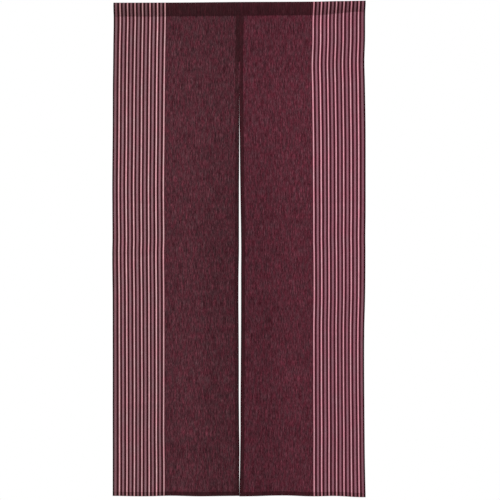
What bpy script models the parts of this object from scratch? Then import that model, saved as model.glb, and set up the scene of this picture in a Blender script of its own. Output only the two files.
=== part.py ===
"""A long noren curtain: two cloth panels seamed together at the top, split below, with a rod pocket.

Metres, +Z up. The front faces -Y and the left panel is at -X. The origin is the middle of the top fold, where
the rod holds the cloth up. A drop is a distance down from the origin.
"""

import math
from collections import namedtuple

import bmesh
import bpy

# Driving sizes
DROP = 1.686
POCKET_DROP = 0.047
POCKET_BULGE = 0.0078
CLOTH = 0.0012
SEWING_GAP = 0.0003
SLIT_HEM = 0.014
BOTTOM_HEM = 0.0147
HEM_LEDGE = 0.0008

# A hem is two layers of cloth, with the turned one at the back. The two layers of the pocket close to a sewing
# gap at the stitch line, so the front of the cloth below it lies this far in front of the origin's plane.
HEM_LAYERS = 2
FRONT = CLOTH + SEWING_GAP / 2

# Even steps that the cloth is divided into, across and along it
PANEL_COLUMNS = 22
PANEL_ROWS = 34
POCKET_COLUMNS = 12
POCKET_STEPS = 26

# The outer edges of the left and the right panel, which wander a little as the cloth hangs
Edges = namedtuple("Edges", "drop left right")
EDGES = (
    Edges(0.000, -0.4300, 0.4293),
    Edges(0.062, -0.4293, 0.4277),
    Edges(0.140, -0.4306, 0.4274),
    Edges(0.215, -0.4317, 0.4250),
    Edges(0.290, -0.4323, 0.4271),
    Edges(0.440, -0.4328, 0.4296),
    Edges(0.620, -0.4348, 0.4292),
    Edges(0.720, -0.4338, 0.4286),
    Edges(0.810, -0.4335, 0.4278),
    Edges(0.860, -0.4345, 0.4283),
    Edges(1.000, -0.4333, 0.4274),
    Edges(1.120, -0.4330, 0.4244),
    Edges(1.270, -0.4327, 0.4239),
    Edges(1.510, -0.4328, 0.4258),
    Edges(1.686, -0.4334, 0.4292),
)

# The slit between the panels: closed by the centre seam at the top, widest near the middle of its length
Slit = namedtuple("Slit", "drop centre width")
SLIT = (
    Slit(0.000, 0.0000, SEWING_GAP),
    Slit(0.100, 0.0000, SEWING_GAP),
    Slit(0.203, -0.0020, SEWING_GAP),
    Slit(0.360, -0.0014, 0.0004),
    Slit(0.440, -0.0010, 0.0014),
    Slit(0.560, -0.0003, 0.0033),
    Slit(0.700, 0.0003, 0.0057),
    Slit(0.830, 0.0010, 0.0075),
    Slit(0.930, 0.0001, 0.0086),
    Slit(1.020, 0.0000, 0.0090),
    Slit(1.180, 0.0000, 0.0074),
    Slit(1.300, -0.0002, 0.0063),
    Slit(1.420, 0.0003, 0.0049),
    Slit(1.540, 0.0006, 0.0027),
    Slit(1.630, -0.0007, 0.0019),
    Slit(1.686, -0.0009, 0.0006),
)

# The heights of the top fold, of the pocket's stitch line and of the bottom fold, by their place across
Lines = namedtuple("Lines", "x top stitch bottom")
LINES = (
    Lines(-0.440, -0.0025, -0.0492, -1.6857),
    Lines(-0.215, -0.0020, -0.0487, -1.6855),
    Lines(-0.085, -0.0008, -0.0475, -1.6860),
    Lines(0.000, 0.0000, -0.0471, -1.6860),
    Lines(0.170, 0.0007, -0.0456, -1.6845),
    Lines(0.270, 0.0013, -0.0442, -1.6858),
    Lines(0.325, 0.0022, -0.0395, -1.6862),
    Lines(0.380, 0.0028, -0.0342, -1.6880),
    Lines(0.440, 0.0042, -0.0320, -1.6892),
)

# Soft upright folds: a positive depth lies behind the curtain's plane. A fold begins and is full at these drops,
# drifts sideways by lean on its way to the bottom, and keeps the share at_hem of its depth there.
Fold = namedtuple("Fold", "x half_width depth begins full lean at_hem")
LEFT_FOLDS = (
    Fold(-0.432, 0.070, 0.0055, 0.08, 0.60, 0.000, 0.8),
    Fold(-0.345, 0.095, -0.0060, 0.07, 0.75, 0.012, 1.2),
    Fold(-0.240, 0.090, 0.0055, 0.10, 0.85, 0.016, 1.3),
    Fold(-0.150, 0.090, -0.0055, 0.14, 0.90, 0.008, 1.1),
    Fold(0.020, 0.150, 0.0140, 0.20, 0.80, -0.006, 0.6),
)
RIGHT_FOLDS = (
    Fold(-0.005, 0.115, -0.0125, 0.20, 0.85, 0.004, 0.5),
    Fold(0.150, 0.090, 0.0065, 0.12, 0.90, -0.010, 1.0),
    Fold(0.245, 0.085, -0.0055, 0.10, 0.80, -0.014, 1.2),
    Fold(0.340, 0.090, 0.0060, 0.07, 0.70, -0.010, 1.3),
    Fold(0.430, 0.075, -0.0060, 0.08, 0.50, 0.000, 0.8),
)
HEM_CALMS_FROM = 1.20

# The whole width sways gently to the front and the back on its way down
Sway = namedtuple("Sway", "drop depth")
SWAY = (
    Sway(0.00, 0.0000),
    Sway(0.15, 0.0000),
    Sway(0.60, -0.0050),
    Sway(1.05, 0.0005),
    Sway(1.36, -0.0035),
    Sway(1.686, 0.0020),
)

CLOTH_COLOUR = (0.078, 0.022, 0.031, 1.0)
POCKET_COLOUR = (0.040, 0.011, 0.015, 1.0)
CLOTH_ROUGHNESS = 0.9


def eased(share):
    """A share from 0 to 1 with a soft start and end."""
    share = min(1.0, max(0.0, share))
    return share * share * (3 - 2 * share)


def slope(rows, place, column, i):
    """How fast a table's column rises at row i, from its neighbours."""
    before = rows[max(0, i - 1)]
    after = rows[min(len(rows) - 1, i + 1)]
    run = getattr(after, place) - getattr(before, place)
    return (getattr(after, column) - getattr(before, column)) / run


def read(rows, place, column, at):
    """A table's column as a smooth curve through its rows."""
    at = min(getattr(rows[-1], place), max(getattr(rows[0], place), at))
    i = max(k for k in range(len(rows) - 1) if getattr(rows[k], place) <= at)
    low, high = rows[i], rows[i + 1]
    run = getattr(high, place) - getattr(low, place)
    t = (at - getattr(low, place)) / run
    rise = eased(t)
    leave = t * (1 - t) ** 2 * run * slope(rows, place, column, i)
    arrive = t * t * (t - 1) * run * slope(rows, place, column, i + 1)
    return getattr(low, column) * (1 - rise) + getattr(high, column) * rise + leave + arrive


def inner_edge(side, drop):
    """The x of a panel's edge at the seam or the slit; side is -1 for the left panel and 1 for the right one."""
    width = max(SEWING_GAP, read(SLIT, "drop", "width", drop))
    return read(SLIT, "drop", "centre", drop) + side * width / 2


def outer_edge(side, drop):
    """The x of a panel's outer edge."""
    return read(EDGES, "drop", "left" if side < 0 else "right", drop)


def fold_depth(folds, x, drop):
    """How far the cloth lies behind the curtain's plane."""
    depth = read(SWAY, "drop", "depth", drop)
    for fold in folds:
        grown = eased((drop - fold.begins) / (fold.full - fold.begins))
        near_hem = eased((drop - HEM_CALMS_FROM) / (DROP - HEM_CALMS_FROM))
        share = grown * (1 + (fold.at_hem - 1) * near_hem)
        centre = fold.x + fold.lean * drop / DROP
        away = min(1.0, abs(x - centre) / fold.half_width)
        depth += fold.depth * share * (1 + math.cos(math.pi * away)) / 2
    return depth


def material(thing, colour):
    """Gives an object its own cloth material."""
    made = bpy.data.materials.new(thing.name)
    made.use_nodes = True
    shader = made.node_tree.nodes["Principled BSDF"]
    shader.inputs["Base Color"].default_value = colour
    shader.inputs["Roughness"].default_value = CLOTH_ROUGHNESS
    shader.inputs["Metallic"].default_value = 0.0
    thing.data.materials.append(made)


def cloth(name, side, columns, rows, place, layers, colour):
    """A cloth solid: a grid whose outer face is at place(column, row), with layers(column, row) of cloth behind.

    Columns count from the seam towards the outer edge.
    """
    grid = bmesh.new()
    bmesh.ops.create_grid(grid, x_segments=columns, y_segments=rows, size=0.5)
    group = grid.verts.layers.deform.verify()
    for vertex in grid.verts:
        column = round((vertex.co.x + 0.5) * columns)
        row = round((vertex.co.y + 0.5) * rows)
        vertex.co = place(column, row)
        vertex[group][0] = layers(column, row) / HEM_LAYERS
    mesh = bpy.data.meshes.new(name)
    grid.to_mesh(mesh)
    grid.free()
    mesh.shade_smooth()
    piece = bpy.data.objects.new(name, mesh)
    CURTAIN.objects.link(piece)
    piece.vertex_groups.new(name="layers")
    thickness = piece.modifiers.new("Thickness", "SOLIDIFY")
    thickness.thickness = HEM_LAYERS * CLOTH
    thickness.vertex_group = "layers"
    thickness.offset = -side
    material(piece, colour)


def distances(hem, even_steps, full):
    """Distances from a hemmed edge: the hem's end, the ledge behind it, then even steps to the far side."""
    ledge = hem + HEM_LEDGE
    return [0.0, hem] + [ledge + (full - ledge) * k / even_steps for k in range(even_steps + 1)]


def panel(name, side, folds):
    """One panel from its bottom fold up to the stitch line, with the slit hem and the bottom hem at its back."""
    nominal = distances(BOTTOM_HEM, PANEL_ROWS, DROP - POCKET_DROP)

    def place(column, row):
        drop = DROP - nominal[row]
        inner = inner_edge(side, drop)
        width = abs(outer_edge(side, drop) - inner)
        x = inner + side * distances(SLIT_HEM, PANEL_COLUMNS, width)[column]
        bottom = read(LINES, "x", "bottom", x)
        top = read(LINES, "x", "stitch", x) - SEWING_GAP
        z = bottom + distances(BOTTOM_HEM, PANEL_ROWS, top - bottom)[row]
        return x, fold_depth(folds, x, -z) - FRONT, z

    def layers(column, row):
        in_hem = column <= 1 or row <= 1
        return HEM_LAYERS if in_hem else 1

    cloth(name, side, PANEL_COLUMNS + 2, PANEL_ROWS + 2, place, layers, CLOTH_COLOUR)


def teardrop(angle):
    """The pocket's half width as a share of the widest, from the stitch line (0) to the top fold (pi)."""
    widest = math.acos(-1 / 3)
    peak = math.sin(widest) * math.sin(widest / 2)
    return math.sin(angle) * math.sin(angle / 2) / peak


def heading(name, side):
    """The top of one panel, turned over to the back as its half of the rod pocket and held a little open."""

    def place(column, row):
        turn = math.pi * (2 * row / POCKET_STEPS - 1)
        angle = math.pi - abs(turn)
        share_down = (1 + math.cos(angle)) / 2
        inner = inner_edge(side, POCKET_DROP * share_down)
        outer = outer_edge(side, POCKET_DROP * share_down)
        x = inner + (outer - inner) * column / POCKET_COLUMNS
        top = read(LINES, "x", "top", x)
        z = top + (read(LINES, "x", "stitch", x) - top) * share_down
        half = FRONT * share_down + POCKET_BULGE * teardrop(angle)
        return x, math.copysign(half, turn), z

    def layers(column, row):
        return 1

    cloth(name, side, POCKET_COLUMNS, POCKET_STEPS, place, layers, POCKET_COLOUR)


for old in list(bpy.data.objects):
    bpy.data.objects.remove(old)
CURTAIN = bpy.data.collections.new("noren_curtain")
bpy.context.scene.collection.children.link(CURTAIN)

heading("heading_left", -1)
heading("heading_right", 1)
panel("panel_left", -1, LEFT_FOLDS)
panel("panel_right", 1, RIGHT_FOLDS)
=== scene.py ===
"""The noren curtain's looks: two striped panels of melange cloth, seamed at the top and split below.

Metres, +Z up, the front facing -Y. A drop is a distance down from the middle of the top fold. Each side of
the curtain is one length of cloth: side -1 is the left one and side 1 the right one. Its top is turned to
the back as the rod pocket, and its hems along the slit and along the bottom are turned to the back too.
"""

import math
from collections import namedtuple

import bpy
import numpy as np
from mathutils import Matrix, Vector


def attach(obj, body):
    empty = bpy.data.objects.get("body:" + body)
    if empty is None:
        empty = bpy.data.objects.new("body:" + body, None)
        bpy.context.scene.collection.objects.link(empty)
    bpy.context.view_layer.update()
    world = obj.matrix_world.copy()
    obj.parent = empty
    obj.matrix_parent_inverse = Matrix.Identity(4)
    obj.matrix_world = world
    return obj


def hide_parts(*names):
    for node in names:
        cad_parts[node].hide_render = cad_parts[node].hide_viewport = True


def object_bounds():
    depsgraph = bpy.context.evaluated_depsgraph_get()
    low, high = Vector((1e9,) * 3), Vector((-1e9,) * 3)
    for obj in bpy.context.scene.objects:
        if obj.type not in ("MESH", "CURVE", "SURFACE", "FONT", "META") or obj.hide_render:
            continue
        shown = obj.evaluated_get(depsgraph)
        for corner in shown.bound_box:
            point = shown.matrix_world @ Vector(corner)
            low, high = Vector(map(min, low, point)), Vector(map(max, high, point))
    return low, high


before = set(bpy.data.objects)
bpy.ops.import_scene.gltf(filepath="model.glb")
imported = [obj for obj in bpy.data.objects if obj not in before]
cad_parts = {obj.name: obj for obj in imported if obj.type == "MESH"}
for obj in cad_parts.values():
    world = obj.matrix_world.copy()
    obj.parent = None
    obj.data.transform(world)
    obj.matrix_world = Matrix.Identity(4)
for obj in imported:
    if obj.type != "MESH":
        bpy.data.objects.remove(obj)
CAD_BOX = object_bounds()

# The cloth's driving sizes, as the solids have them. Its front lies this far before the origin's plane.
DROP = 1.686
POCKET_DROP = 0.047
POCKET_BULGE = 0.0078
SOLID_CLOTH = 0.0012
SEWING_GAP = 0.0003
SLIT_HEM = 0.014
BOTTOM_HEM = 0.0147
FRONT = SOLID_CLOTH + SEWING_GAP / 2

# The real cloth's thickness, its width in each panel, and the drop where the centre seam ends
CLOTH = 0.0006
PANEL_WIDTH = 0.430
SEAM_END = 0.203

# The radius of a turned hem's crown. The slit hem's grows to the corner's near the bottom.
HEM_TURN = 0.0004
CORNER_TURN = 0.0008
CORNER_FROM = 1.40
CORNER_GROWS = 0.20

# The pocket takes some cloth beyond twice its drop, to go round the rod. Its turned end hangs below the
# stitch line and stands off the back a little. Near the top fold, from this angle round the pocket on, the
# slit hem's turned cloth lies lower too.
POCKET_ROOM = 0.006
POCKET_LENGTH = 2 * POCKET_DROP + POCKET_ROOM
POCKET_TAIL = 0.0028
TAIL_BEHIND = 0.0001
TOP_FOLD_FROM = 2.2
TOP_FOLD_GROWS = 0.9

# The grid's lines near a hem's crown, as distances from it along the cloth, the even steps beyond the hem,
# and the steps round the pocket
CROWN_LINES = (-0.00055, -0.0002, 0.0, 0.0002, 0.00055)
SLIT_HEM_LINES = (0.0011, 0.0022, 0.0034, 0.0045, 0.008, 0.0115, SLIT_HEM)
BOTTOM_HEM_LINES = (0.0011, 0.0022, 0.0045, 0.008, 0.012, BOTTOM_HEM)
COLUMN_STEPS = 92
ROW_STEPS = 300
POCKET_STEPS = 40

# The outer edges of the left and the right panel, which wander a little as the cloth hangs
Edges = namedtuple("Edges", "drop left right")
EDGES = (
    Edges(0.000, -0.4300, 0.4293),
    Edges(0.062, -0.4293, 0.4277),
    Edges(0.140, -0.4303, 0.4274),
    Edges(0.215, -0.4312, 0.4250),
    Edges(0.290, -0.4322, 0.4266),
    Edges(0.440, -0.4327, 0.4285),
    Edges(0.620, -0.4341, 0.4286),
    Edges(0.720, -0.4338, 0.4286),
    Edges(0.810, -0.4335, 0.4278),
    Edges(0.860, -0.4345, 0.4283),
    Edges(1.000, -0.4333, 0.4274),
    Edges(1.120, -0.4330, 0.4244),
    Edges(1.270, -0.4327, 0.4239),
    Edges(1.510, -0.4328, 0.4258),
    Edges(1.686, -0.4334, 0.4292),
)

# The slit between the panels: closed by the centre seam at the top, widest near the middle of its length
Slit = namedtuple("Slit", "drop centre width")
SLIT = (
    Slit(0.000, 0.0000, 0.0000),
    Slit(0.100, 0.0000, 0.0000),
    Slit(0.203, -0.0022, 0.0000),
    Slit(0.300, -0.0016, 0.0000),
    Slit(0.330, -0.0014, 0.0001),
    Slit(0.400, -0.0013, 0.0004),
    Slit(0.450, -0.0009, 0.0012),
    Slit(0.550, -0.0005, 0.0026),
    Slit(0.640, -0.0002, 0.0044),
    Slit(0.780, 0.0008, 0.0066),
    Slit(0.850, 0.0011, 0.0073),
    Slit(0.920, 0.0003, 0.0082),
    Slit(1.020, 0.0001, 0.0086),
    Slit(1.120, 0.0003, 0.0076),
    Slit(1.260, 0.0002, 0.0062),
    Slit(1.330, -0.0001, 0.0057),
    Slit(1.400, 0.0000, 0.0048),
    Slit(1.460, 0.0003, 0.0042),
    Slit(1.530, 0.0004, 0.0023),
    Slit(1.600, -0.0005, 0.0020),
    Slit(1.640, -0.0009, 0.0008),
    Slit(1.686, -0.0011, 0.0002),
)

# The heights of the top fold, of the pocket's stitch line and of the bottom fold, by their place across
Lines = namedtuple("Lines", "x top stitch bottom")
LINES = (
    Lines(-0.440, -0.0025, -0.0492, -1.6857),
    Lines(-0.215, -0.0020, -0.0487, -1.6855),
    Lines(-0.085, -0.0008, -0.0475, -1.6860),
    Lines(0.000, 0.0000, -0.0471, -1.6860),
    Lines(0.170, 0.0007, -0.0456, -1.6845),
    Lines(0.270, 0.0015, -0.0442, -1.6862),
    Lines(0.325, 0.0028, -0.0395, -1.6864),
    Lines(0.380, 0.0036, -0.0342, -1.6885),
    Lines(0.440, 0.0047, -0.0320, -1.6892),
)

# Soft upright folds: a positive depth lies behind the curtain's plane. A fold begins and is full at these
# drops, drifts sideways by lean on its way to the bottom, and keeps the share at_hem of its depth there. It
# nears that share from NEAR_HEM_FROM on.
Fold = namedtuple("Fold", "x half_width depth begins full lean at_hem")
LEFT_FOLDS = (
    Fold(-0.432, 0.070, 0.0055, 0.08, 0.60, 0.000, 0.8),
    Fold(-0.345, 0.095, -0.0060, 0.07, 0.75, 0.012, 1.2),
    Fold(-0.240, 0.090, 0.0055, 0.10, 0.85, 0.016, 1.3),
    Fold(-0.150, 0.090, -0.0055, 0.14, 0.90, 0.008, 1.1),
    Fold(0.020, 0.150, 0.0140, 0.20, 0.80, -0.006, 0.6),
)
RIGHT_FOLDS = (
    Fold(-0.005, 0.115, -0.0125, 0.20, 0.85, 0.004, 0.5),
    Fold(0.150, 0.090, 0.0065, 0.12, 0.90, -0.010, 1.0),
    Fold(0.245, 0.085, -0.0055, 0.10, 0.80, -0.014, 1.2),
    Fold(0.340, 0.090, 0.0060, 0.07, 0.70, -0.010, 1.3),
    Fold(0.430, 0.075, -0.0060, 0.08, 0.50, 0.000, 0.8),
)
NEAR_HEM_FROM = 1.20

# The whole width sways gently to the front and the back on its way down
Sway = namedtuple("Sway", "drop depth")
SWAY = (
    Sway(0.00, 0.0000),
    Sway(0.15, 0.0000),
    Sway(0.60, -0.0050),
    Sway(1.05, 0.0005),
    Sway(1.36, -0.0035),
    Sway(1.686, 0.0020),
)

# Creases left by the packing, where the cloth lay folded: soft troughs from one place across to another. A
# negative depth is a ridge. A crease wavers a little up and down, in waves of so many radians to the metre,
# which its own drop shifts.
Crease = namedtuple("Crease", "start end drop_at_start drop_at_end depth half_height")
CREASES = (
    Crease(-0.44, 0.00, 0.688, 0.683, 0.0020, 0.0070),
    Crease(0.00, 0.44, 0.684, 0.690, 0.0019, 0.0070),
    Crease(-0.44, 0.00, 0.868, 0.861, 0.0026, 0.0100),
    Crease(-0.44, 0.00, 1.113, 1.113, -0.0010, 0.0075),
    Crease(0.00, 0.44, 1.130, 1.140, -0.0019, 0.0075),
    Crease(-0.44, 0.00, 0.345, 0.340, 0.0007, 0.0070),
    Crease(0.00, 0.44, 0.342, 0.346, 0.0006, 0.0070),
    Crease(-0.44, 0.00, 1.372, 1.368, -0.0015, 0.0080),
    Crease(0.00, 0.44, 1.368, 1.376, -0.0015, 0.0080),
)
CREASE_WAVER = 0.0012
CREASE_WAVES = 61.0
CREASE_SHIFT = 40.0

# Small ripples: waves across the cloth, which slant with the drop or snake, times waves down it, which slant
# with the place across. All but depth, snake and start are in radians to the metre. The ripples grow from
# RIPPLES_FROM on.
Ripple = namedtuple("Ripple", "depth across slant snake snake_down down down_slant start")
RIPPLES = (
    Ripple(0.0007, 47.0, 0.0, 2.1, 5.3, 9.0, 6.0, 0.0),
    Ripple(0.0004, 83.0, 13.0, 0.0, 0.0, 21.0, -11.0, 1.3),
)
RIPPLES_FROM = 0.06
RIPPLES_GROW = 0.12

# The woven stripes, across the cloth from its outer edge. Light stripes take turns with bands of fine pale
# threads, which lie a little nearer the edge than halfway between two light stripes. The plain dark yarn
# between them ends a little beyond the last one.
STRIPE_PITCH = 0.0255
STRIPE_COUNT = 7
LIGHT_FIRST = 0.02135
LIGHT_LAST = LIGHT_FIRST + STRIPE_PITCH * (STRIPE_COUNT - 1)
LIGHT_MIDDLE = (LIGHT_FIRST + LIGHT_LAST) / 2
LIGHT_WIDTH = 0.0045
BAND_OUT = 0.0003
BAND_FIRST = LIGHT_FIRST - STRIPE_PITCH / 2 - BAND_OUT
BAND_WIDTH = 0.0066
BAND_THREAD_PITCH = 0.0011
DARK_YARN_BEYOND = 0.0050
STRIPED_TO = LIGHT_LAST + DARK_YARN_BEYOND
STRIPE_SOFT = 0.0005

# A light stripe's rims are redder than its core
RIM_WIDTH = 0.0009
CORE_SOFT = 0.0004

# Where the first, the middle and the last light stripe run while the cloth hangs, from its outer edge
Hang = namedtuple("Hang", "drop left_first left_middle left_last right_first right_middle right_last")
HANG = (
    Hang(0.012, 0.0218, 0.0985, 0.1753, 0.0220, 0.0987, 0.1757),
    Hang(0.063, 0.0220, 0.0982, 0.1745, 0.0224, 0.1001, 0.1767),
    Hang(0.117, 0.0215, 0.0978, 0.1742, 0.0227, 0.1002, 0.1770),
    Hang(0.186, 0.0212, 0.0978, 0.1739, 0.0225, 0.1001, 0.1772),
    Hang(0.288, 0.0214, 0.0979, 0.1740, 0.0230, 0.1004, 0.1773),
    Hang(0.391, 0.0211, 0.0977, 0.1736, 0.0235, 0.1004, 0.1775),
    Hang(0.527, 0.0211, 0.0980, 0.1734, 0.0229, 0.0996, 0.1768),
    Hang(0.664, 0.0209, 0.0980, 0.1732, 0.0228, 0.0991, 0.1762),
    Hang(0.800, 0.0215, 0.0983, 0.1735, 0.0228, 0.0984, 0.1750),
    Hang(0.937, 0.0221, 0.0986, 0.1735, 0.0223, 0.0974, 0.1737),
    Hang(1.073, 0.0220, 0.0987, 0.1733, 0.0214, 0.0958, 0.1720),
    Hang(1.210, 0.0221, 0.0992, 0.1730, 0.0211, 0.0944, 0.1707),
    Hang(1.346, 0.0226, 0.0997, 0.1730, 0.0209, 0.0944, 0.1711),
    Hang(1.483, 0.0226, 0.0993, 0.1726, 0.0202, 0.0944, 0.1715),
    Hang(1.603, 0.0228, 0.0994, 0.1739, 0.0206, 0.0963, 0.1735),
    Hang(1.661, 0.0226, 0.0993, 0.1741, 0.0209, 0.0975, 0.1745),
)

# How far each side's cloth reaches beyond the outer edge in the table above, and how far in from its even
# place its outermost band lies
Selvedge = namedtuple("Selvedge", "reach band_in")
SELVEDGES = {-1: Selvedge(0.0010, -0.0003), 1: Selvedge(0.0004, 0.0006)}

# Linear colours of the threads: the melange yarn's darkest and palest flecks, the plain dark yarn between
# the stripes, and the light yarn
Threads = namedtuple("Threads", "ground ground_flecks dark light")
LEFT_THREADS = Threads(
    ground=(0.0190, 0.0035, 0.0060),
    ground_flecks=(0.1080, 0.0321, 0.0431),
    dark=(0.0240, 0.0037, 0.0054),
    light=(0.383, 0.215, 0.232),
)
RIGHT_THREADS = Threads(
    ground=(0.0225, 0.0030, 0.0060),
    ground_flecks=(0.1146, 0.0305, 0.0442),
    dark=(0.0330, 0.0047, 0.0088),
    light=(0.396, 0.190, 0.225),
)

# How strong the stripes' light yarn looks on its way down, as painted light and shade: it is palest in the
# upper middle
Paleness = namedtuple("Paleness", "drop left right")
STRIPE_PAINTED_LIGHT = (
    Paleness(0.00, 0.83, 0.90),
    Paleness(0.25, 0.885, 0.945),
    Paleness(0.60, 0.97, 0.985),
    Paleness(0.90, 0.965, 0.975),
    Paleness(1.15, 0.92, 0.925),
    Paleness(1.686, 0.88, 0.91),
)

# How pale the ground between the stripes and the slit looks on its way down, as painted light and shade
GROUND_PAINTED_LIGHT = (
    Paleness(0.06, 0.93, 0.98),
    Paleness(0.13, 0.94, 1.00),
    Paleness(0.27, 1.01, 1.065),
    Paleness(0.40, 1.03, 1.10),
    Paleness(0.54, 1.03, 1.065),
    Paleness(0.68, 1.01, 1.015),
    Paleness(0.81, 0.98, 0.995),
    Paleness(0.95, 0.99, 1.00),
    Paleness(1.09, 0.98, 0.955),
    Paleness(1.22, 1.02, 0.99),
    Paleness(1.36, 1.00, 0.985),
    Paleness(1.50, 0.97, 0.94),
)

# The light yarn's paleness across the cloth, by the distance from the outer edge: the last stripe but one is
# the palest
ACROSS = (0.110, 0.1235, 0.136, 0.149, 0.1615, 0.1745)
ACROSS_PALENESS = (1.0, 1.05, 1.05, 1.19, 1.05, 1.04)

# Noises over the cloth, with a period of 1/stretch metres along each of its coordinates. Three add up to the
# melange yarn's flecks, each with its share. The others change the ground's hue, the tone of the whole cloth
# and the hue of the light yarn.
Noise = namedtuple("Noise", "stretch detail roughness share", defaults=(1.0,))
FLECKS = (
    Noise((900.0, 54.0, 7.0), 2.0, 0.6, 0.46),
    Noise((700.0, 16.0, 5.0), 1.0, 0.5, 0.29),
    Noise((1300.0, 115.0, 3.0), 1.0, 0.5, 0.25),
)
HUES = Noise((110.0, 34.0, 9.0), 2.0, 0.6)
CLOUDS = Noise((26.0, 9.0, 2.0), 2.0, 0.5)
DRIFTS = Noise((70.0, 17.0, 4.0), 2.0, 0.6)

# Ramps: the low and the high end of a value, and where it isn't from 0 to 1, what the ramp gives there
FLECK_RAMP = (0.44, 0.575)
GROUND_RAMP = (0.42, 0.62)
HUE_RAMP = (0.35, 0.65)
CLOUD_RAMP = (0.3, 0.7, 0.965, 1.035)
WEAVE_RAMP = (-0.7, 0.7, 0.78, 1.22)
BAND_RAMP = (-0.8, 0.8, 0.14, 0.68)

# How the flecks show. In the ground the pale ones are rarer than the dark ones, by this power. They bring
# the dark yarn this near to the ground's darkest colour, and make the light yarn this much lighter and
# darker. Where the cloth lies double, the ground is calmer: it is this near to one colour, which lies this
# share of the way from the darkest flecks to the palest.
GROUND_POWER = 1.6
DARK_YARN_FLECKS = 0.5
LIGHT_YARN_FLECKS = 0.14
CALM = 0.35
CALM_COLOUR = 0.28

# Tints, which multiply a colour. The ground and the light yarn drift from a redder one to a greyer one.
REDDER = (1.13, 0.82, 0.93)
GREYER = (0.87, 1.18, 1.07)
LIGHT_REDDER = (1.05, 0.91, 0.95)
LIGHT_GREYER = (0.95, 1.09, 1.05)
BAND_TINT = (1.02, 0.90, 0.98)
CORE_TINT = (1.05, 1.10, 1.10)
RIM_TINT = (0.92, 0.66, 0.70)

# Tints of painted shade, which darken the ground, the bands and the light stripes where the cloth lies
# double
SHADED_DOUBLE_GROUND = (0.49, 0.415, 0.415)
SHADED_DOUBLE_BAND = (0.69, 0.65, 0.645)
SHADED_DOUBLE_LIGHT = (0.78, 0.72, 0.71)

# How double the cloth looks, and so how much painted shade it gets, in the looser left slit hem and along
# both edges from the seam's end to the place where the slit opens. Further down the edges' crowns get
# painted shade.
LOOSE_HEM = 0.66
MOUTH = 0.05
MOUTH_END = 0.292
CROWN_HALF = 0.0034
CROWN_SHADE = 0.65
SHADED_FROM = 0.42

# The cloth gets painted shade at its outer edge, and a little along the slit. The outermost band is weaker
# where the cloth is single. Each changes between two distances from the outer edge.
SELVEDGE_SHADE = 0.5
SELVEDGE_STEP = (0.0040, 0.0050)
SLIT_SHADE = 0.95
SLIT_SHADE_STEP = (0.300, 0.330)
OUTERMOST_BAND = 0.72
OUTERMOST_RAMP = (0.0135, 0.0145)

# The plain weave, and the sewing thread, which is twisted from two plies whose raised turns get painted
# sheen
WARP_PITCH = 0.00062
WEFT_PITCH = 0.00070
SEWING_THREAD = (0.014, 0.0025, 0.004)
PLY_PITCH = 0.0007
PLY_SHEEN = 1.9

# A surface's roughness and shine, and its bump's strength and height. The flecks add to the weave's bump.
Finish = namedtuple("Finish", "roughness shine bump bump_height")
CLOTH_FINISH = Finish(0.92, 0.06, 0.5, 0.00015)
THREAD_FINISH = Finish(0.6, 0.06, 0.6, 0.00006)
FLECK_BUMP = 2.0
SHEEN = 0.02
SHEEN_ROUGHNESS = 0.5
SHEEN_TINT = (0.9, 0.75, 0.8, 1.0)

# Sewing. A stitch's rings give their share of its length, their rise over the middle of the cloth's
# thickness, and their share of the thread's radius. Stitches start this far from a line's end, a hem is sewn
# this far in from its turned end, and the pocket this far below its stitch line.
STITCH_PITCH = 0.0034
STITCH_LENGTH = 0.0026
STITCH_SIDES = 5
THREAD_RADIUS = 0.0002
STITCH_RINGS = ((0.0, 0.00008, 0.7), (0.2, 0.00040, 1.0), (0.8, 0.00040, 1.0), (1.0, 0.00008, 0.7))
STITCHES_FROM = 0.0045
HEM_SEWN_IN = 0.0015
POCKET_STITCHES_BELOW = 0.0007

# The threads that join the panels reach this far into both, and form a close tack at the seam's end
JOIN_PITCH = 0.006
JOIN_REACH = 0.0014
TACK_PITCH = 0.0007
TACK_COUNT = 7

# How far apart two places on the cloth are when the direction out of it is worked out
NUDGE = 0.0002

# The camera faces the curtain from far off. The view's middle and half size are in the curtain's plane.
VIEW_CENTRE = (0.0350, -0.8463)
VIEW_HALF = 0.8528
LENS = 135.0
SENSOR = 36.0

# Two square lights that face one point, and the world's white light
Light = namedtuple("Light", "name place size power")
LIGHTS = (
    Light("key", (-6.0, -9.0, 4.5), 4.0, 1545),
    Light("back", (3.0, 6.0, 1.6), 2.5, 350),
)
LIGHTS_FACE = (0.0, 0.0, -0.8)
WORLD_COLOUR = (1.0, 1.0, 1.0, 1.0)
WORLD_LIGHT = 1.0

# The round floor lies this far below the curtain
FLOOR_BELOW = 0.30
FLOOR_RADIUS = 2.0
FLOOR_SIDES = 96
FLOOR_COLOUR = (0.62, 0.61, 0.60)
FLOOR_ROUGHNESS = 0.8
FLOOR_NOISE = Noise((3.0, 3.0, 3.0), 2.0, 0.5)
FLOOR_UNEVEN = 0.03


def side_name(side):
    """The word for a side in the tables' columns."""
    return "left" if side < 0 else "right"


def eased(share):
    """A share from 0 to 1 with a soft start and end, for a number or an array."""
    share = np.clip(share, 0.0, 1.0)
    return share * share * (3 - 2 * share)


def read(rows, place, column, at):
    """A table's column as a smooth curve through its rows, at one place or an array of them."""
    places = np.array([getattr(row, place) for row in rows])
    values = np.array([getattr(row, column) for row in rows])
    before = np.maximum(np.arange(len(rows)) - 1, 0)
    after = np.minimum(np.arange(len(rows)) + 1, len(rows) - 1)
    slopes = (values[after] - values[before]) / (places[after] - places[before])
    at = np.clip(at, places[0], places[-1])
    i = np.clip(np.searchsorted(places, at, side="right") - 1, 0, len(rows) - 2)
    run = places[i + 1] - places[i]
    t = (at - places[i]) / run
    rise = eased(t)
    leave = t * (1 - t) ** 2 * run * slopes[i]
    arrive = t * t * (t - 1) * run * slopes[i + 1]
    return values[i] * (1 - rise) + values[i + 1] * rise + leave + arrive


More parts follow.
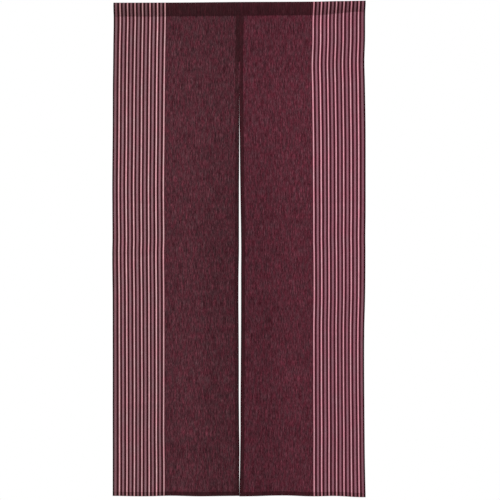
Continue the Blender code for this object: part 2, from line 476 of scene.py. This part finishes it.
def inner_edge(side, drop):
    """The x of a side's edge at the seam or the slit."""
    width = np.maximum(0.0, read(SLIT, "drop", "width", drop))
    return read(SLIT, "drop", "centre", drop) + side * width / 2


def outer_edge(side, drop):
    """The x of a side's outer edge."""
    return read(EDGES, "drop", side_name(side), drop)


def fold_depth(folds, x, drop):
    """How far the cloth lies behind the curtain's plane in its sway and its upright folds."""
    depth = read(SWAY, "drop", "depth", drop)
    near_hem = eased((drop - NEAR_HEM_FROM) / (DROP - NEAR_HEM_FROM))
    for fold in folds:
        grown = eased((drop - fold.begins) / (fold.full - fold.begins))
        share = grown * (1 + (fold.at_hem - 1) * near_hem)
        centre = fold.x + fold.lean * drop / DROP
        away = np.minimum(1.0, abs(x - centre) / fold.half_width)
        depth += fold.depth * share * (1 + np.cos(math.pi * away)) / 2
    return depth


def crease_depth(x, drop):
    """How far the packing creases press the cloth back."""
    depth = np.zeros(np.broadcast(x, drop).shape)
    for crease in CREASES:
        share = (x - crease.start) / (crease.end - crease.start)
        line = crease.drop_at_start + (crease.drop_at_end - crease.drop_at_start) * share
        line = line + CREASE_WAVER * np.sin(x * CREASE_WAVES + crease.drop_at_start * CREASE_SHIFT)
        within = (share >= 0) & (share <= 1)
        depth += within * crease.depth * np.exp(-(((drop - line) / crease.half_height) ** 2))
    return depth


def ripple_depth(x, drop):
    """Small unevenness all over: broad low waves that cross each other."""
    waves = 0.0
    for ripple in RIPPLES:
        snake = ripple.snake * np.sin(drop * ripple.snake_down)
        wave = np.sin(x * ripple.across + drop * ripple.slant + snake)
        waves += ripple.depth * wave * np.sin(drop * ripple.down + x * ripple.down_slant + ripple.start)
    return eased((drop - RIPPLES_FROM) / RIPPLES_GROW) * waves


def turned(distance, radius):
    """The place of cloth near a turned edge: how far in from the edge, and how far behind the front layer.

    distance is measured along the cloth from the edge's crown, and is negative on the turned side.
    """
    quarter = math.pi / 2 * radius
    angle = np.clip(distance / radius, -math.pi / 2, math.pi / 2)
    flat = np.maximum(abs(distance) - quarter, 0.0)
    return radius * (1 - np.cos(angle)) + flat, radius * (1 - np.sin(angle))


def pocket_half(angle):
    """Half the pocket's thickness to the middle of its cloth, from the stitch line (0) to the top fold (pi).

    It is a teardrop, which is widest at the angle whose cosine is -1/3, on top of the cloth's own layers.
    """
    widest = math.acos(-1 / 3)
    peak = math.sin(widest) * math.sin(widest / 2)
    teardrop = np.sin(angle) * np.sin(angle / 2) / peak
    share_down = (1 + np.cos(angle)) / 2
    return (FRONT - CLOTH / 2) * share_down + (POCKET_BULGE - CLOTH / 2) * teardrop


def grid_lines(hem_lines, end, steps):
    """The grid's lines along the cloth, from the turned hem, where they are negative, up to the end."""
    hem = hem_lines[-1]
    turned_hem = [-line for line in reversed(hem_lines)]
    even = [hem + (end - hem) * k / steps for k in range(1, steps + 1)]
    return np.array([*turned_hem, *CROWN_LINES, *hem_lines, *even])


def across(side, distance, drop):
    """The x of the cloth at a distance from its slit edge, so that the stripes run where they hang."""
    inner = inner_edge(side, drop)
    width = abs(outer_edge(side, drop) - inner)
    first = read(HANG, "drop", side_name(side) + "_first", drop)
    middle = read(HANG, "drop", side_name(side) + "_middle", drop)
    last = read(HANG, "drop", side_name(side) + "_last", drop)
    band = BAND_FIRST * first / LIGHT_FIRST + SELVEDGES[side].band_in
    in_cloth = (LIGHT_LAST, LIGHT_MIDDLE, LIGHT_FIRST, BAND_FIRST, 0.0)
    hanging = (last, middle, first, band, -SELVEDGES[side].reach)
    cloth = [0.0, SLIT_HEM, *(PANEL_WIDTH - place for place in in_cloth)]
    hung = [0.0, SLIT_HEM, *(width - place for place in hanging)]
    return inner + side * np.maximum(np.interp(distance, cloth, hung), CLOTH / 2)


def panel_points(side, folds, distance, along):
    """Where the cloth below the stitch line lies: arrays of x, y, z over rows and columns."""
    points = np.zeros((len(along), len(distance), 3))
    for row, place in enumerate(along):
        from_bottom, bottom_depth = turned(place, HEM_TURN)
        drop = DROP - from_bottom
        turn = HEM_TURN + (CORNER_TURN - HEM_TURN) * eased((drop - CORNER_FROM) / CORNER_GROWS)
        from_slit, slit_depth = turned(distance, turn)
        x = across(side, from_slit, drop)
        bottom = read(LINES, "x", "bottom", x)
        stitch = read(LINES, "x", "stitch", x)
        z = bottom + from_bottom * (stitch - bottom) / (DROP - POCKET_DROP)
        depth = fold_depth(folds, x, -z) + crease_depth(x, -z) + ripple_depth(x, -z)
        points[row, :, 0] = x
        points[row, :, 1] = CLOTH / 2 - FRONT + depth + slit_depth + bottom_depth
        points[row, :, 2] = z
    return points


def pocket_points(side, distance):
    """Where the pocket's cloth lies, from the front's stitch line over the top fold and down the back."""
    points = np.zeros((POCKET_STEPS, len(distance), 3))
    from_slit, slit_depth = turned(distance, HEM_TURN)
    for row in range(POCKET_STEPS):
        turn = 2 * math.pi * (row + 1) / POCKET_STEPS
        angle = min(turn, 2 * math.pi - turn)
        share_down = (1 + math.cos(angle)) / 2
        x = across(side, from_slit, POCKET_DROP * share_down)
        top = read(LINES, "x", "top", x) - CLOTH / 2
        z = top + (read(LINES, "x", "stitch", x) - top) * share_down
        facing = -1 if turn <= math.pi else 1
        points[row, :, 0] = x
        points[row, :, 1] = facing * (pocket_half(angle) - slit_depth * math.sin(angle / 2) ** 0.5)
        points[row, :, 2] = z - slit_depth * eased((angle - TOP_FOLD_FROM) / TOP_FOLD_GROWS)
    return points


def grid_mesh(name, points):
    """A mesh of quads over rows and columns of points."""
    rows, columns = points.shape[:2]
    index = np.arange(rows * columns).reshape(rows, columns)
    corners = (index[:-1, :-1], index[:-1, 1:], index[1:, 1:], index[1:, :-1])
    faces = np.stack([corner.ravel() for corner in corners], axis=1)
    mesh = bpy.data.meshes.new(name)
    mesh.from_pydata(points.reshape(-1, 3).tolist(), [], faces.tolist())
    mesh.shade_smooth()
    return mesh


def keep(mesh, name, kind, domain, values):
    """Stores a named attribute on a mesh."""
    attribute = mesh.attributes.new(name, kind, domain)
    field = "vector" if kind == "FLOAT_VECTOR" else "value"
    attribute.data.foreach_set(field, np.asarray(values, dtype=np.float32).ravel())


def add_piece(name, mesh):
    """Puts a mesh in the scene as a piece of the object."""
    piece = bpy.data.objects.new(name, mesh)
    bpy.context.scene.collection.objects.link(piece)
    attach(piece, "root")
    return piece


def keep_places(mesh, side, from_outer, up):
    """Keeps the cloth's coordinates, from the outer edge and up from the bottom fold, its paleness and its
    painted light.
    """
    coordinates = np.zeros((len(up), len(from_outer), 3))
    coordinates[:, :, 0] = from_outer[None, :]
    coordinates[:, :, 1] = up[:, None]
    coordinates[:, :, 2] = side
    keep(mesh, "cloth", "FLOAT_VECTOR", "POINT", coordinates)
    # The stripes' painted light and shade down the cloth, times the light yarn's own paleness across it
    paleness = read(STRIPE_PAINTED_LIGHT, "drop", side_name(side), DROP - up)
    paleness = paleness[:, None] * np.interp(from_outer, ACROSS, ACROSS_PALENESS)[None, :]
    keep(mesh, "paleness", "FLOAT", "POINT", paleness)
    ground_painted_light = read(GROUND_PAINTED_LIGHT, "drop", side_name(side), DROP - up)
    keep(mesh, "ground_painted_light", "FLOAT", "POINT", np.repeat(ground_painted_light, len(from_outer)))


def keep_layers(mesh, side, distance, up):
    """Keeps where the cloth lies double, and so gets painted shade, and where a crown gets painted shade."""
    from_crown = abs(distance[:-1] + distance[1:])[None, :] / 2
    row_middle = (up[:-1] + up[1:])[:, None] / 2
    drop = DROP - row_middle
    double = (from_crown < SLIT_HEM) * np.where((drop > SEAM_END) & (side < 0), LOOSE_HEM, 1.0)
    at_mouth = (from_crown < CROWN_HALF) & (drop > SEAM_END) & (drop < MOUTH_END)
    double = np.where(at_mouth, MOUTH, double)
    in_other_folds = (row_middle < BOTTOM_HEM) | (row_middle > DROP - POCKET_DROP)
    keep(mesh, "double", "FLOAT", "FACE", np.where(in_other_folds, 1.0, double))
    shaded = (from_crown < CROWN_HALF) & (drop > SHADED_FROM)
    keep(mesh, "shade", "FLOAT", "FACE", np.where(shaded, CROWN_SHADE, 1.0))


def cloth_side(name, side, folds):
    """One length of cloth: the panel with both hems, the pocket, and the pocket's turned end at the back."""
    distance = grid_lines(SLIT_HEM_LINES, PANEL_WIDTH, COLUMN_STEPS)
    along = grid_lines(BOTTOM_HEM_LINES, DROP - POCKET_DROP, ROW_STEPS)
    panel = panel_points(side, folds, distance, along)
    pocket = pocket_points(side, distance)
    tail = np.repeat(pocket[-1:], 2, axis=0)
    tail[0, :, 2] -= POCKET_TAIL / 2
    tail[1, :, 2] -= POCKET_TAIL
    tail[:, :, 1] += TAIL_BEHIND
    mesh = grid_mesh(name, np.concatenate([panel, pocket, tail]))
    if side < 0:
        mesh.flip_normals()

    lengths = [along[-1] + POCKET_LENGTH * (k + 1) / POCKET_STEPS for k in range(POCKET_STEPS)]
    lengths += [lengths[-1] + POCKET_TAIL / 2, lengths[-1] + POCKET_TAIL]
    up = np.concatenate([along, lengths])
    keep_places(mesh, side, PANEL_WIDTH - distance, up)
    keep_layers(mesh, side, distance, up)

    piece = add_piece(name, mesh)
    thickness = piece.modifiers.new("Thickness", "SOLIDIFY")
    thickness.thickness = CLOTH
    thickness.offset = 0
    thickness.use_even_offset = False
    return piece


def outward_from(side, folds, distance, along):
    """The directions straight out of the cloth's visible face at a grid of places on a panel."""
    points = panel_points(side, folds, distance, along)
    beside = panel_points(side, folds, distance + NUDGE, along) - points
    above = panel_points(side, folds, distance, along + NUDGE) - points
    return side * np.cross(beside, above)


def thread_mesh(name, begins, ends, outward):
    """Short rounded stitches between points on the cloth, raised in the middle and sunk in at both ends."""
    run = ends - begins
    run /= np.linalg.norm(run, axis=1, keepdims=True)
    outward = outward - run * (outward * run).sum(axis=1, keepdims=True)
    outward /= np.linalg.norm(outward, axis=1, keepdims=True)
    sideways = np.cross(run, outward)
    points = np.zeros((len(begins), len(STITCH_RINGS), STITCH_SIDES, 3))
    for ring, (share, rise, swell) in enumerate(STITCH_RINGS):
        centre = begins + (ends - begins) * share + outward * rise
        for corner in range(STITCH_SIDES):
            turn = 2 * math.pi * corner / STITCH_SIDES
            arm = math.cos(turn) * outward + math.sin(turn) * sideways
            points[:, ring, corner] = centre + THREAD_RADIUS * swell * arm
    index = np.arange(points.size // 3).reshape(points.shape[:3])
    low, high = index[:, :-1], index[:, 1:]
    walls = np.stack([low, np.roll(low, -1, axis=2), np.roll(high, -1, axis=2), high], axis=-1)
    faces = walls.reshape(-1, 4).tolist() + index[:, 0, ::-1].tolist() + index[:, -1].tolist()
    mesh = bpy.data.meshes.new(name)
    mesh.from_pydata(points.reshape(-1, 3).tolist(), [], faces)
    mesh.shade_smooth()
    return mesh


def sewn(side, folds, distance, along):
    """One line of stitches, up a panel or across it: where they begin and end, and what is outward there."""
    half = STITCH_LENGTH / 2
    half_across, half_up = (0.0, half) if len(distance) == 1 else (half, 0.0)
    begins = panel_points(side, folds, distance - half_across, along - half_up)
    ends = panel_points(side, folds, distance + half_across, along + half_up)
    outward = outward_from(side, folds, distance, along)
    return [places.reshape(-1, 3) for places in (begins, ends, outward)]


def hem_stitches(name, side, folds):
    """The sewing of one side's slit hem, bottom hem and pocket line, at the front and at the back."""
    pocket_line = DROP - POCKET_DROP - POCKET_STITCHES_BELOW
    edge = PANEL_WIDTH - STITCH_LENGTH / 2
    lines = []
    for layer, start in ((1, STITCHES_FROM), (-1, SLIT_HEM + STITCHES_FROM)):
        slit_line = np.array([layer * (SLIT_HEM - HEM_SEWN_IN)])
        bottom_line = np.array([layer * (BOTTOM_HEM - HEM_SEWN_IN)])
        upwards = np.arange(start, pocket_line - STITCHES_FROM, STITCH_PITCH)
        lines.append(sewn(side, folds, slit_line, upwards))
        lines.append(sewn(side, folds, np.arange(start, edge, STITCH_PITCH), bottom_line))
        places = np.arange(STITCHES_FROM, edge, STITCH_PITCH)
        begins, ends, _ = sewn(side, folds, places, np.array([pocket_line]))
        begins[:, 1] *= layer
        ends[:, 1] *= layer
        lines.append((begins, ends, np.tile((0.0, -layer, 0.0), (len(places), 1))))
    mesh = thread_mesh(name, *(np.concatenate(part) for part in zip(*lines)))
    return add_piece(name, mesh)


def seam_stitches(name):
    """The threads that join the panels' hems along the centre seam, close together where the slit begins."""
    drops = list(np.arange(POCKET_DROP + JOIN_PITCH, SEAM_END - JOIN_PITCH, JOIN_PITCH))
    drops += [SEAM_END - TACK_PITCH * k for k in range(TACK_COUNT)]
    places = DROP - np.array(drops)
    begins, ends, outward = [], [], []
    for layer in (1, -1):
        line = np.array([layer * JOIN_REACH])
        begins.append(panel_points(-1, LEFT_FOLDS, line, places)[:, 0])
        ends.append(panel_points(1, RIGHT_FOLDS, line, places)[:, 0])
        outward.append(np.tile((0.0, -layer, 0.0), (len(places), 1)))
    mesh = thread_mesh(name, np.concatenate(begins), np.concatenate(ends), np.concatenate(outward))
    return add_piece(name, mesh)


class Shader:
    """A material's node tree, with short calls that add nodes and link them."""

    def __init__(self, name):
        self.material = bpy.data.materials.new(name)
        self.material.use_nodes = True
        self.nodes = self.material.node_tree.nodes
        self.links = self.material.node_tree.links
        self.surface = self.nodes["Principled BSDF"]

    def put(self, socket, value):
        """Links an output to a socket, or sets the socket's own value."""
        if isinstance(value, bpy.types.NodeSocket):
            self.links.new(value, socket)
        else:
            socket.default_value = value

    def maths(self, operation, *values):
        """A math node's result."""
        node = self.nodes.new("ShaderNodeMath")
        node.operation = operation
        for socket, value in zip(node.inputs, values):
            self.put(socket, value)
        return node.outputs[0]

    def product(self, first, *others):
        """The first value, multiplied by each of the others in turn."""
        for value in others:
            first = self.maths("MULTIPLY", first, value)
        return first

    def wave(self, value, period):
        """A sine from -1 to 1 along a value."""
        return self.maths("SINE", self.product(value, 2 * math.pi / period))

    def step(self, value, low, high):
        """A soft step from 0 to 1 as value goes from low to high. It falls where low is above high."""
        node = self.nodes.new("ShaderNodeMapRange")
        node.interpolation_type = "SMOOTHSTEP"
        self.put(node.inputs["Value"], value)
        rising = low < high
        node.inputs["From Min"].default_value = low if rising else high
        node.inputs["From Max"].default_value = high if rising else low
        node.inputs["To Min"].default_value = 0.0 if rising else 1.0
        node.inputs["To Max"].default_value = 1.0 if rising else 0.0
        return node.outputs["Result"]

    def ramp(self, value, low, high, at_low=0.0, at_high=1.0):
        """A straight map of value from one range to another, clamped."""
        node = self.nodes.new("ShaderNodeMapRange")
        self.put(node.inputs["Value"], value)
        node.inputs["From Min"].default_value = low
        node.inputs["From Max"].default_value = high
        node.inputs["To Min"].default_value = at_low
        node.inputs["To Max"].default_value = at_high
        return node.outputs["Result"]

    def mix(self, share, first, second, blend="MIX"):
        """Mixes two colours, which are the node's inputs 6 and 7 and its output 2."""
        node = self.nodes.new("ShaderNodeMix")
        node.data_type = "RGBA"
        node.blend_type = blend
        self.put(node.inputs["Factor"], share)
        for socket, value in zip((node.inputs[6], node.inputs[7]), (first, second)):
            self.put(socket, value if isinstance(value, bpy.types.NodeSocket) else (*value, 1.0))
        return node.outputs[2]

    def tinted(self, colour, tint):
        """A colour multiplied by another."""
        return self.mix(1.0, colour, tint, "MULTIPLY")

    def scaled(self, colour, share):
        """A colour made lighter or darker."""
        node = self.nodes.new("ShaderNodeVectorMath")
        node.operation = "SCALE"
        self.put(node.inputs[0], colour)
        self.put(node.inputs["Scale"], share)
        return node.outputs[0]

    def attribute(self, name, output="Fac"):
        """What the mesh keeps under a name."""
        node = self.nodes.new("ShaderNodeAttribute")
        node.attribute_name = name
        return node.outputs[output]

    def object_place(self):
        """The place on the object, in its own metres."""
        return self.nodes.new("ShaderNodeTexCoord").outputs["Object"]

    def split(self, place):
        """A place's three coordinates."""
        node = self.nodes.new("ShaderNodeSeparateXYZ")
        self.put(node.inputs[0], place)
        return node.outputs

    def joined(self, *coordinates):
        """A place from its three coordinates."""
        node = self.nodes.new("ShaderNodeCombineXYZ")
        for socket, value in zip(node.inputs, coordinates):
            self.put(socket, value)
        return node.outputs[0]

    def noise(self, at, noise):
        """One of the noises above, at a place."""
        stretched = self.nodes.new("ShaderNodeVectorMath")
        stretched.operation = "MULTIPLY"
        self.put(stretched.inputs[0], at)
        stretched.inputs[1].default_value = noise.stretch
        node = self.nodes.new("ShaderNodeTexNoise")
        self.put(node.inputs["Vector"], stretched.outputs[0])
        node.inputs["Scale"].default_value = 1.0
        node.inputs["Detail"].default_value = noise.detail
        node.inputs["Roughness"].default_value = noise.roughness
        return node.outputs[0]

    def finish(self, colour, finish, height):
        """Gives the surface its colour, one of the finishes above, and a bump of this height."""
        self.put(self.surface.inputs["Base Color"], colour)
        self.surface.inputs["Roughness"].default_value = finish.roughness
        self.surface.inputs["Specular IOR Level"].default_value = finish.shine
        bump = self.nodes.new("ShaderNodeBump")
        bump.inputs["Strength"].default_value = finish.bump
        bump.inputs["Distance"].default_value = finish.bump_height
        self.put(bump.inputs["Height"], height)
        self.put(self.surface.inputs["Normal"], bump.outputs[0])


class ClothShader(Shader):
    """A shader that knows the cloth: its coordinates, its threads, its flecks and its stripes."""

    def __init__(self, name, threads):
        super().__init__(name)
        self.threads = threads
        self.place = self.attribute("cloth", "Vector")
        self.across, self.up, self.side = self.split(self.place)
        # How double the cloth looks: it sets the painted shade, the calmer ground and the outermost band
        self.double = self.attribute("double")
        self.flecks = self.melange()
        self.fleck_share = self.ramp(self.flecks, *FLECK_RAMP)
        self.striped = self.step(self.across, STRIPED_TO + STRIPE_SOFT, STRIPED_TO - STRIPE_SOFT)

    def melange(self):
        """The melange yarn's flecks: upright streaks, short and long, that change with each thread."""
        thread = self.maths("FLOOR", self.maths("DIVIDE", self.across, WARP_PITCH))
        on_thread = self.joined(self.product(thread, WARP_PITCH), self.up, self.side)
        flecks = 0.0
        for noise in FLECKS:
            flecks = self.maths("ADD", flecks, self.product(self.noise(on_thread, noise), noise.share))
        return flecks

    def stripes(self, first, half_width, soft):
        """1 inside the stripes that repeat from first at the stripes' pitch, 0 between them."""
        shifted = self.maths("ADD", self.across, STRIPE_PITCH / 2 - first)
        within = self.maths("FLOORED_MODULO", shifted, STRIPE_PITCH)
        away = self.maths("ABSOLUTE", self.maths("SUBTRACT", within, STRIPE_PITCH / 2))
        return self.step(away, half_width + soft, half_width - soft)

    def light_stripes(self):
        """How much of the light yarn's broad stripes shows."""
        return self.product(self.stripes(LIGHT_FIRST, LIGHT_WIDTH / 2, STRIPE_SOFT), self.striped)

    def bands(self):
        """How much of the light yarn shows in the bands, which are finely striped."""
        within = self.stripes(BAND_FIRST, BAND_WIDTH / 2, STRIPE_SOFT)
        band_threads = self.ramp(self.wave(self.across, BAND_THREAD_PITCH), *BAND_RAMP)
        further_in = self.ramp(self.across, *OUTERMOST_RAMP)
        outermost = self.maths("MAXIMUM", further_in, self.ramp(self.double, 0.0, 1.0, OUTERMOST_BAND, 1.0))
        return self.product(within, self.striped, band_threads, outermost)

    def drifting(self, noise, redder, greyer):
        """A tint that drifts over the cloth."""
        return self.mix(self.ramp(self.noise(self.place, noise), *HUE_RAMP), redder, greyer)

    def ground(self):
        """The melange ground between the stripes and the slit."""
        share = self.maths("POWER", self.ramp(self.flecks, *GROUND_RAMP), GROUND_POWER)
        colour = self.mix(share, self.threads.ground, self.threads.ground_flecks)
        tinted = self.tinted(colour, self.drifting(HUES, REDDER, GREYER))
        # Painted light and shade on the ground, down the cloth
        return self.scaled(tinted, self.attribute("ground_painted_light"))

    def calmed(self, ground):
        """The ground with weaker flecks, as where the cloth lies double."""
        ends = zip(self.threads.ground, self.threads.ground_flecks)
        return self.mix(CALM, ground, tuple(dark + CALM_COLOUR * (pale - dark) for dark, pale in ends))

    def dark_yarn(self):
        """The plain dark yarn between the stripes."""
        share = self.product(self.fleck_share, DARK_YARN_FLECKS)
        return self.mix(share, self.threads.dark, self.threads.ground)

    def light_yarn(self, light):
        """The light yarn in the bands and, where light is 1, in the light stripes with their redder rims."""
        darker = tuple(c * (1 - LIGHT_YARN_FLECKS) for c in self.threads.light)
        paler = tuple(c * (1 + LIGHT_YARN_FLECKS) for c in self.threads.light)
        yarn = self.mix(self.fleck_share, darker, paler)
        yarn = self.tinted(yarn, self.drifting(DRIFTS, LIGHT_REDDER, LIGHT_GREYER))
        core = self.stripes(LIGHT_FIRST, LIGHT_WIDTH / 2 - RIM_WIDTH, CORE_SOFT)
        stripe = self.tinted(yarn, self.mix(core, RIM_TINT, CORE_TINT))
        pale = self.mix(light, self.tinted(yarn, BAND_TINT), stripe)
        # The paleness holds painted light and shade down the cloth
        return self.scaled(pale, self.attribute("paleness"))

    def tone(self, weave):
        """How light the cloth is: clouds, weave, and painted shade along the slit side, at the crowns and at
        the outer edge.
        """
        clouds = self.ramp(self.noise(self.place, CLOUDS), *CLOUD_RAMP)
        slit = self.ramp(self.step(self.across, *SLIT_SHADE_STEP), 0.0, 1.0, 1.0, SLIT_SHADE)
        edge = self.ramp(self.step(self.across, *SELVEDGE_STEP), 0.0, 1.0, SELVEDGE_SHADE, 1.0)
        return self.product(clouds, slit, self.ramp(weave, *WEAVE_RAMP), self.attribute("shade"), edge)


def cloth_material(name, threads):
    """The striped melange cloth: dark warp with paler flecks, light stripes and finely striped bands."""
    shader = ClothShader(name, threads)
    light = shader.light_stripes()
    light_share = shader.maths("MAXIMUM", light, shader.bands())
    ground = shader.ground()
    dark = shader.dark_yarn()
    pale = shader.light_yarn(light)
    single = shader.mix(light_share, shader.mix(shader.striped, ground, dark), pale)
    # Where the cloth lies double, it gets painted shade
    double_shaded = shader.mix(
        light_share,
        shader.tinted(shader.mix(shader.striped, shader.calmed(ground), dark), SHADED_DOUBLE_GROUND),
        shader.tinted(pale, shader.mix(light, SHADED_DOUBLE_BAND, SHADED_DOUBLE_LIGHT)),
    )

    # The plain weave: warp and weft threads take turns at the face, and the weft is the darker one
    warp = shader.wave(shader.across, 2 * WARP_PITCH)
    weave = shader.product(warp, shader.wave(shader.up, 2 * WEFT_PITCH))
    colour = shader.scaled(shader.mix(shader.double, single, double_shaded), shader.tone(weave))
    height = shader.maths("ADD", weave, shader.product(shader.flecks, FLECK_BUMP))
    shader.finish(colour, CLOTH_FINISH, height)
    shader.surface.inputs["Sheen Weight"].default_value = SHEEN
    shader.surface.inputs["Sheen Roughness"].default_value = SHEEN_ROUGHNESS
    shader.surface.inputs["Sheen Tint"].default_value = SHEEN_TINT
    return shader.material


def thread_material():
    """Dark sewing thread, twisted from two plies, with painted sheen on their raised turns."""
    shader = Shader("sewing_thread")
    x, _, z = shader.split(shader.object_place())
    plies = shader.wave(shader.maths("ADD", x, z), PLY_PITCH)
    paler = tuple(c * PLY_SHEEN for c in SEWING_THREAD)
    shader.finish(shader.mix(shader.ramp(plies, -1.0, 1.0), SEWING_THREAD, paler), THREAD_FINISH, plies)
    return shader.material


def floor_material():
    """A pale floor with a slight unevenness in its tone."""
    shader = Shader("floor")
    uneven = shader.noise(shader.object_place(), FLOOR_NOISE)
    darker = tuple(c * (1 - FLOOR_UNEVEN) for c in FLOOR_COLOUR)
    paler = tuple(c * (1 + FLOOR_UNEVEN) for c in FLOOR_COLOUR)
    shader.put(shader.surface.inputs["Base Color"], shader.mix(uneven, darker, paler))
    shader.surface.inputs["Roughness"].default_value = FLOOR_ROUGHNESS
    return shader.material


def camera():
    """A long lens straight in front of the curtain."""
    data = bpy.data.cameras.new("camera")
    data.lens = LENS
    data.sensor_width = SENSOR
    eye = bpy.data.objects.new("camera", data)
    bpy.context.scene.collection.objects.link(eye)
    away = VIEW_HALF * LENS / (SENSOR / 2)
    eye.location = (VIEW_CENTRE[0], -away, VIEW_CENTRE[1])
    eye.rotation_euler = (math.pi / 2, 0, 0)
    bpy.context.scene.camera = eye


def studio():
    """The square soft lights and the white surroundings."""
    for light in LIGHTS:
        data = bpy.data.lights.new(light.name, "AREA")
        data.size = light.size
        data.energy = light.power
        lamp = bpy.data.objects.new(light.name, data)
        bpy.context.scene.collection.objects.link(lamp)
        lamp.location = light.place
        towards = Vector(LIGHTS_FACE) - Vector(light.place)
        lamp.rotation_euler = towards.to_track_quat("-Z", "Y").to_euler()
    world = bpy.data.worlds.new("studio")
    bpy.context.scene.world = world
    world.use_nodes = True
    background = world.node_tree.nodes["Background"]
    background.inputs["Color"].default_value = WORLD_COLOUR
    background.inputs["Strength"].default_value = WORLD_LIGHT
    bpy.context.scene.view_settings.view_transform = "Standard"


def floor_below():
    """A pale round floor below the curtain."""
    data = bpy.data.meshes.new("floor")
    turns = [2 * math.pi * k / FLOOR_SIDES for k in range(FLOOR_SIDES)]
    z = CAD_BOX[0][2] - FLOOR_BELOW
    rim = [(FLOOR_RADIUS * math.cos(turn), FLOOR_RADIUS * math.sin(turn), z) for turn in turns]
    data.from_pydata(rim, [], [list(range(len(rim)))])
    floor = bpy.data.objects.new("floor", data)
    bpy.context.scene.collection.objects.link(floor)
    data.materials.append(floor_material())


camera()
studio()
floor_below()

left = cloth_side("cloth_left", -1, LEFT_FOLDS)
right = cloth_side("cloth_right", 1, RIGHT_FOLDS)
left.data.materials.append(cloth_material("cloth_left", LEFT_THREADS))
right.data.materials.append(cloth_material("cloth_right", RIGHT_THREADS))
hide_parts("panel_left", "heading_left")
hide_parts("panel_right", "heading_right")

left_sewing = hem_stitches("sewing_left", -1, LEFT_FOLDS)
right_sewing = hem_stitches("sewing_right", 1, RIGHT_FOLDS)
seam = seam_stitches("seam_threads")
thread = thread_material()
for piece in (left_sewing, right_sewing, seam):
    piece.data.materials.append(thread)
